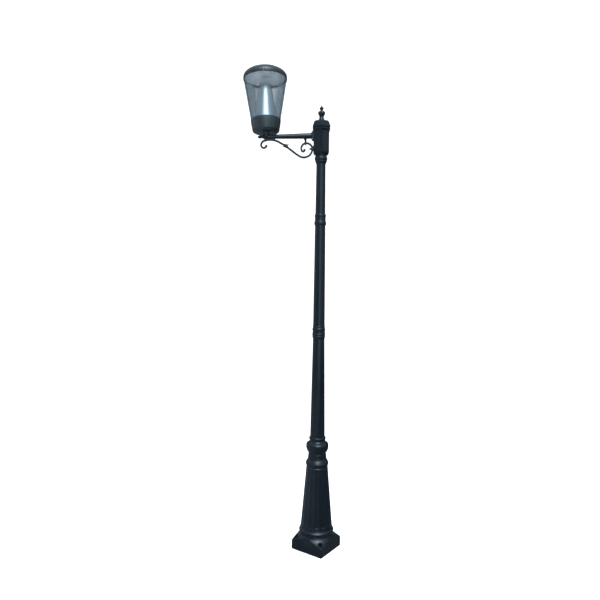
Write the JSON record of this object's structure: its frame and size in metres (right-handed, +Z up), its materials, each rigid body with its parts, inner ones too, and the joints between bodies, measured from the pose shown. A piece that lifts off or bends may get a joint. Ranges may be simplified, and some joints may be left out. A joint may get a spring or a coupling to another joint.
{
  "type": "street lamp post",
  "caption": "Tapered street lamp post with fluted conical base, ringed collars, hexagonal head and finial, scrolled side arm carrying a conical clear lantern with a domed canopy.",
  "frame": {"origin": "centre of the plinth's anchor pattern on its underside, at ground level", "axes": "+Z up the post; -X along the arm towards the lantern; +Y to the side with the access door"},
  "size_m": [0.9221, 0.4743, 4.3298],
  "materials": {
    "post_paint": "semi-gloss anthracite powder coat",
    "cast_iron_paint": "semi-gloss anthracite paint over cast iron",
    "lantern_paint": "satin grey powder coat",
    "polished_aluminium": "polished",
    "bare_aluminium": "satin",
    "white_reflector": "satin pale grey",
    "steel": "zinc plated",
    "brass": "plain",
    "smoke_diffuser": "clear, faint smoke tint",
    "lens": "clear",
    "gasket_rubber": "matt",
    "black_plastic": "matt moulded",
    "grey_plastic": "matt moulded",
    "led_board": "white solder mask"
  },
  "bodies": {
    "post": {"base_plinth": "cast_iron_paint", "base_bolts": "steel", "base_column": "cast_iron_paint", "door_hinge_pins": "steel", "backboard": "grey_plastic", "fuse_unit": "black_plastic", "fuse_carrier": "grey_plastic", "earth_stud": "brass", "supply_cable": "black_plastic", "neck_casting": "cast_iron_paint", "lower_shaft": "post_paint", "mid_collar": "cast_iron_paint", "mid_shaft": "post_paint", "upper_collar": "cast_iron_paint", "upper_shaft": "post_paint", "head_collar": "cast_iron_paint", "collar_screws": "steel", "head_box": "post_paint", "head_cap": "cast_iron_paint", "cap_bridge": "steel", "finial": "cast_iron_paint", "finial_nut": "steel", "bracket_plate": "cast_iron_paint", "bracket_bolts": "steel", "arm": "post_paint", "arm_spike": "cast_iron_paint", "lantern_spigot": "cast_iron_paint", "scroll": "post_paint", "scroll_clasp": "post_paint", "scroll_stalk": "post_paint", "scroll_spur": "post_paint", "gear_housing": "lantern_paint", "spigot_screws": "steel", "cable_gland": "black_plastic", "gear_tray": "lantern_paint", "heat_sink": "bare_aluminium", "led_module": "led_board", "led_lens": "lens", "led_driver": "grey_plastic", "terminal_block": "black_plastic", "reflector_cone": "polished_aluminium", "lower_gasket": "gasket_rubber", "diffuser": "smoke_diffuser", "diffuser_ring": "lantern_paint", "upper_gasket": "gasket_rubber", "canopy_hinge_pin": "steel"},
    "door": {"access_door": "cast_iron_paint", "lock_barrel": "steel", "lock_nut": "steel"},
    "lock_cam": {"lock_cam": "steel"},
    "canopy": {"canopy": "lantern_paint", "canopy_reflector": "white_reflector", "reflector_screws": "steel"},
    "canopy_catch": {"canopy_catch": "steel"}
  },
  "joints": [
    {"name": "door_hinge", "type": "hinge", "parent": "post", "child": "door", "pos_m": [0.07231, 0.11007, 0.43758], "axis": [0.0453, 0.069, -0.9966], "range_deg": [0, 110]},
    {"name": "lock_turn", "type": "hinge", "parent": "door", "child": "lock_cam", "pos_m": [-0.04401, 0.10625, 0.437], "axis": [-0.3827, 0.9239, 0], "range_deg": [0, 90]},
    {"name": "canopy_hinge", "type": "hinge", "parent": "post", "child": "canopy", "pos_m": [-0.50273, 0.2451, 4.21989], "axis": [-0.9997, 0, -0.0262], "range_deg": [0, 100]},
    {"name": "catch_turn", "type": "hinge", "parent": "canopy", "child": "canopy_catch", "pos_m": [-0.50379, -0.1531, 4.26023], "axis": [-0.0261, 0.0872, 0.9959], "range_deg": [0, 90]}
  ]
}
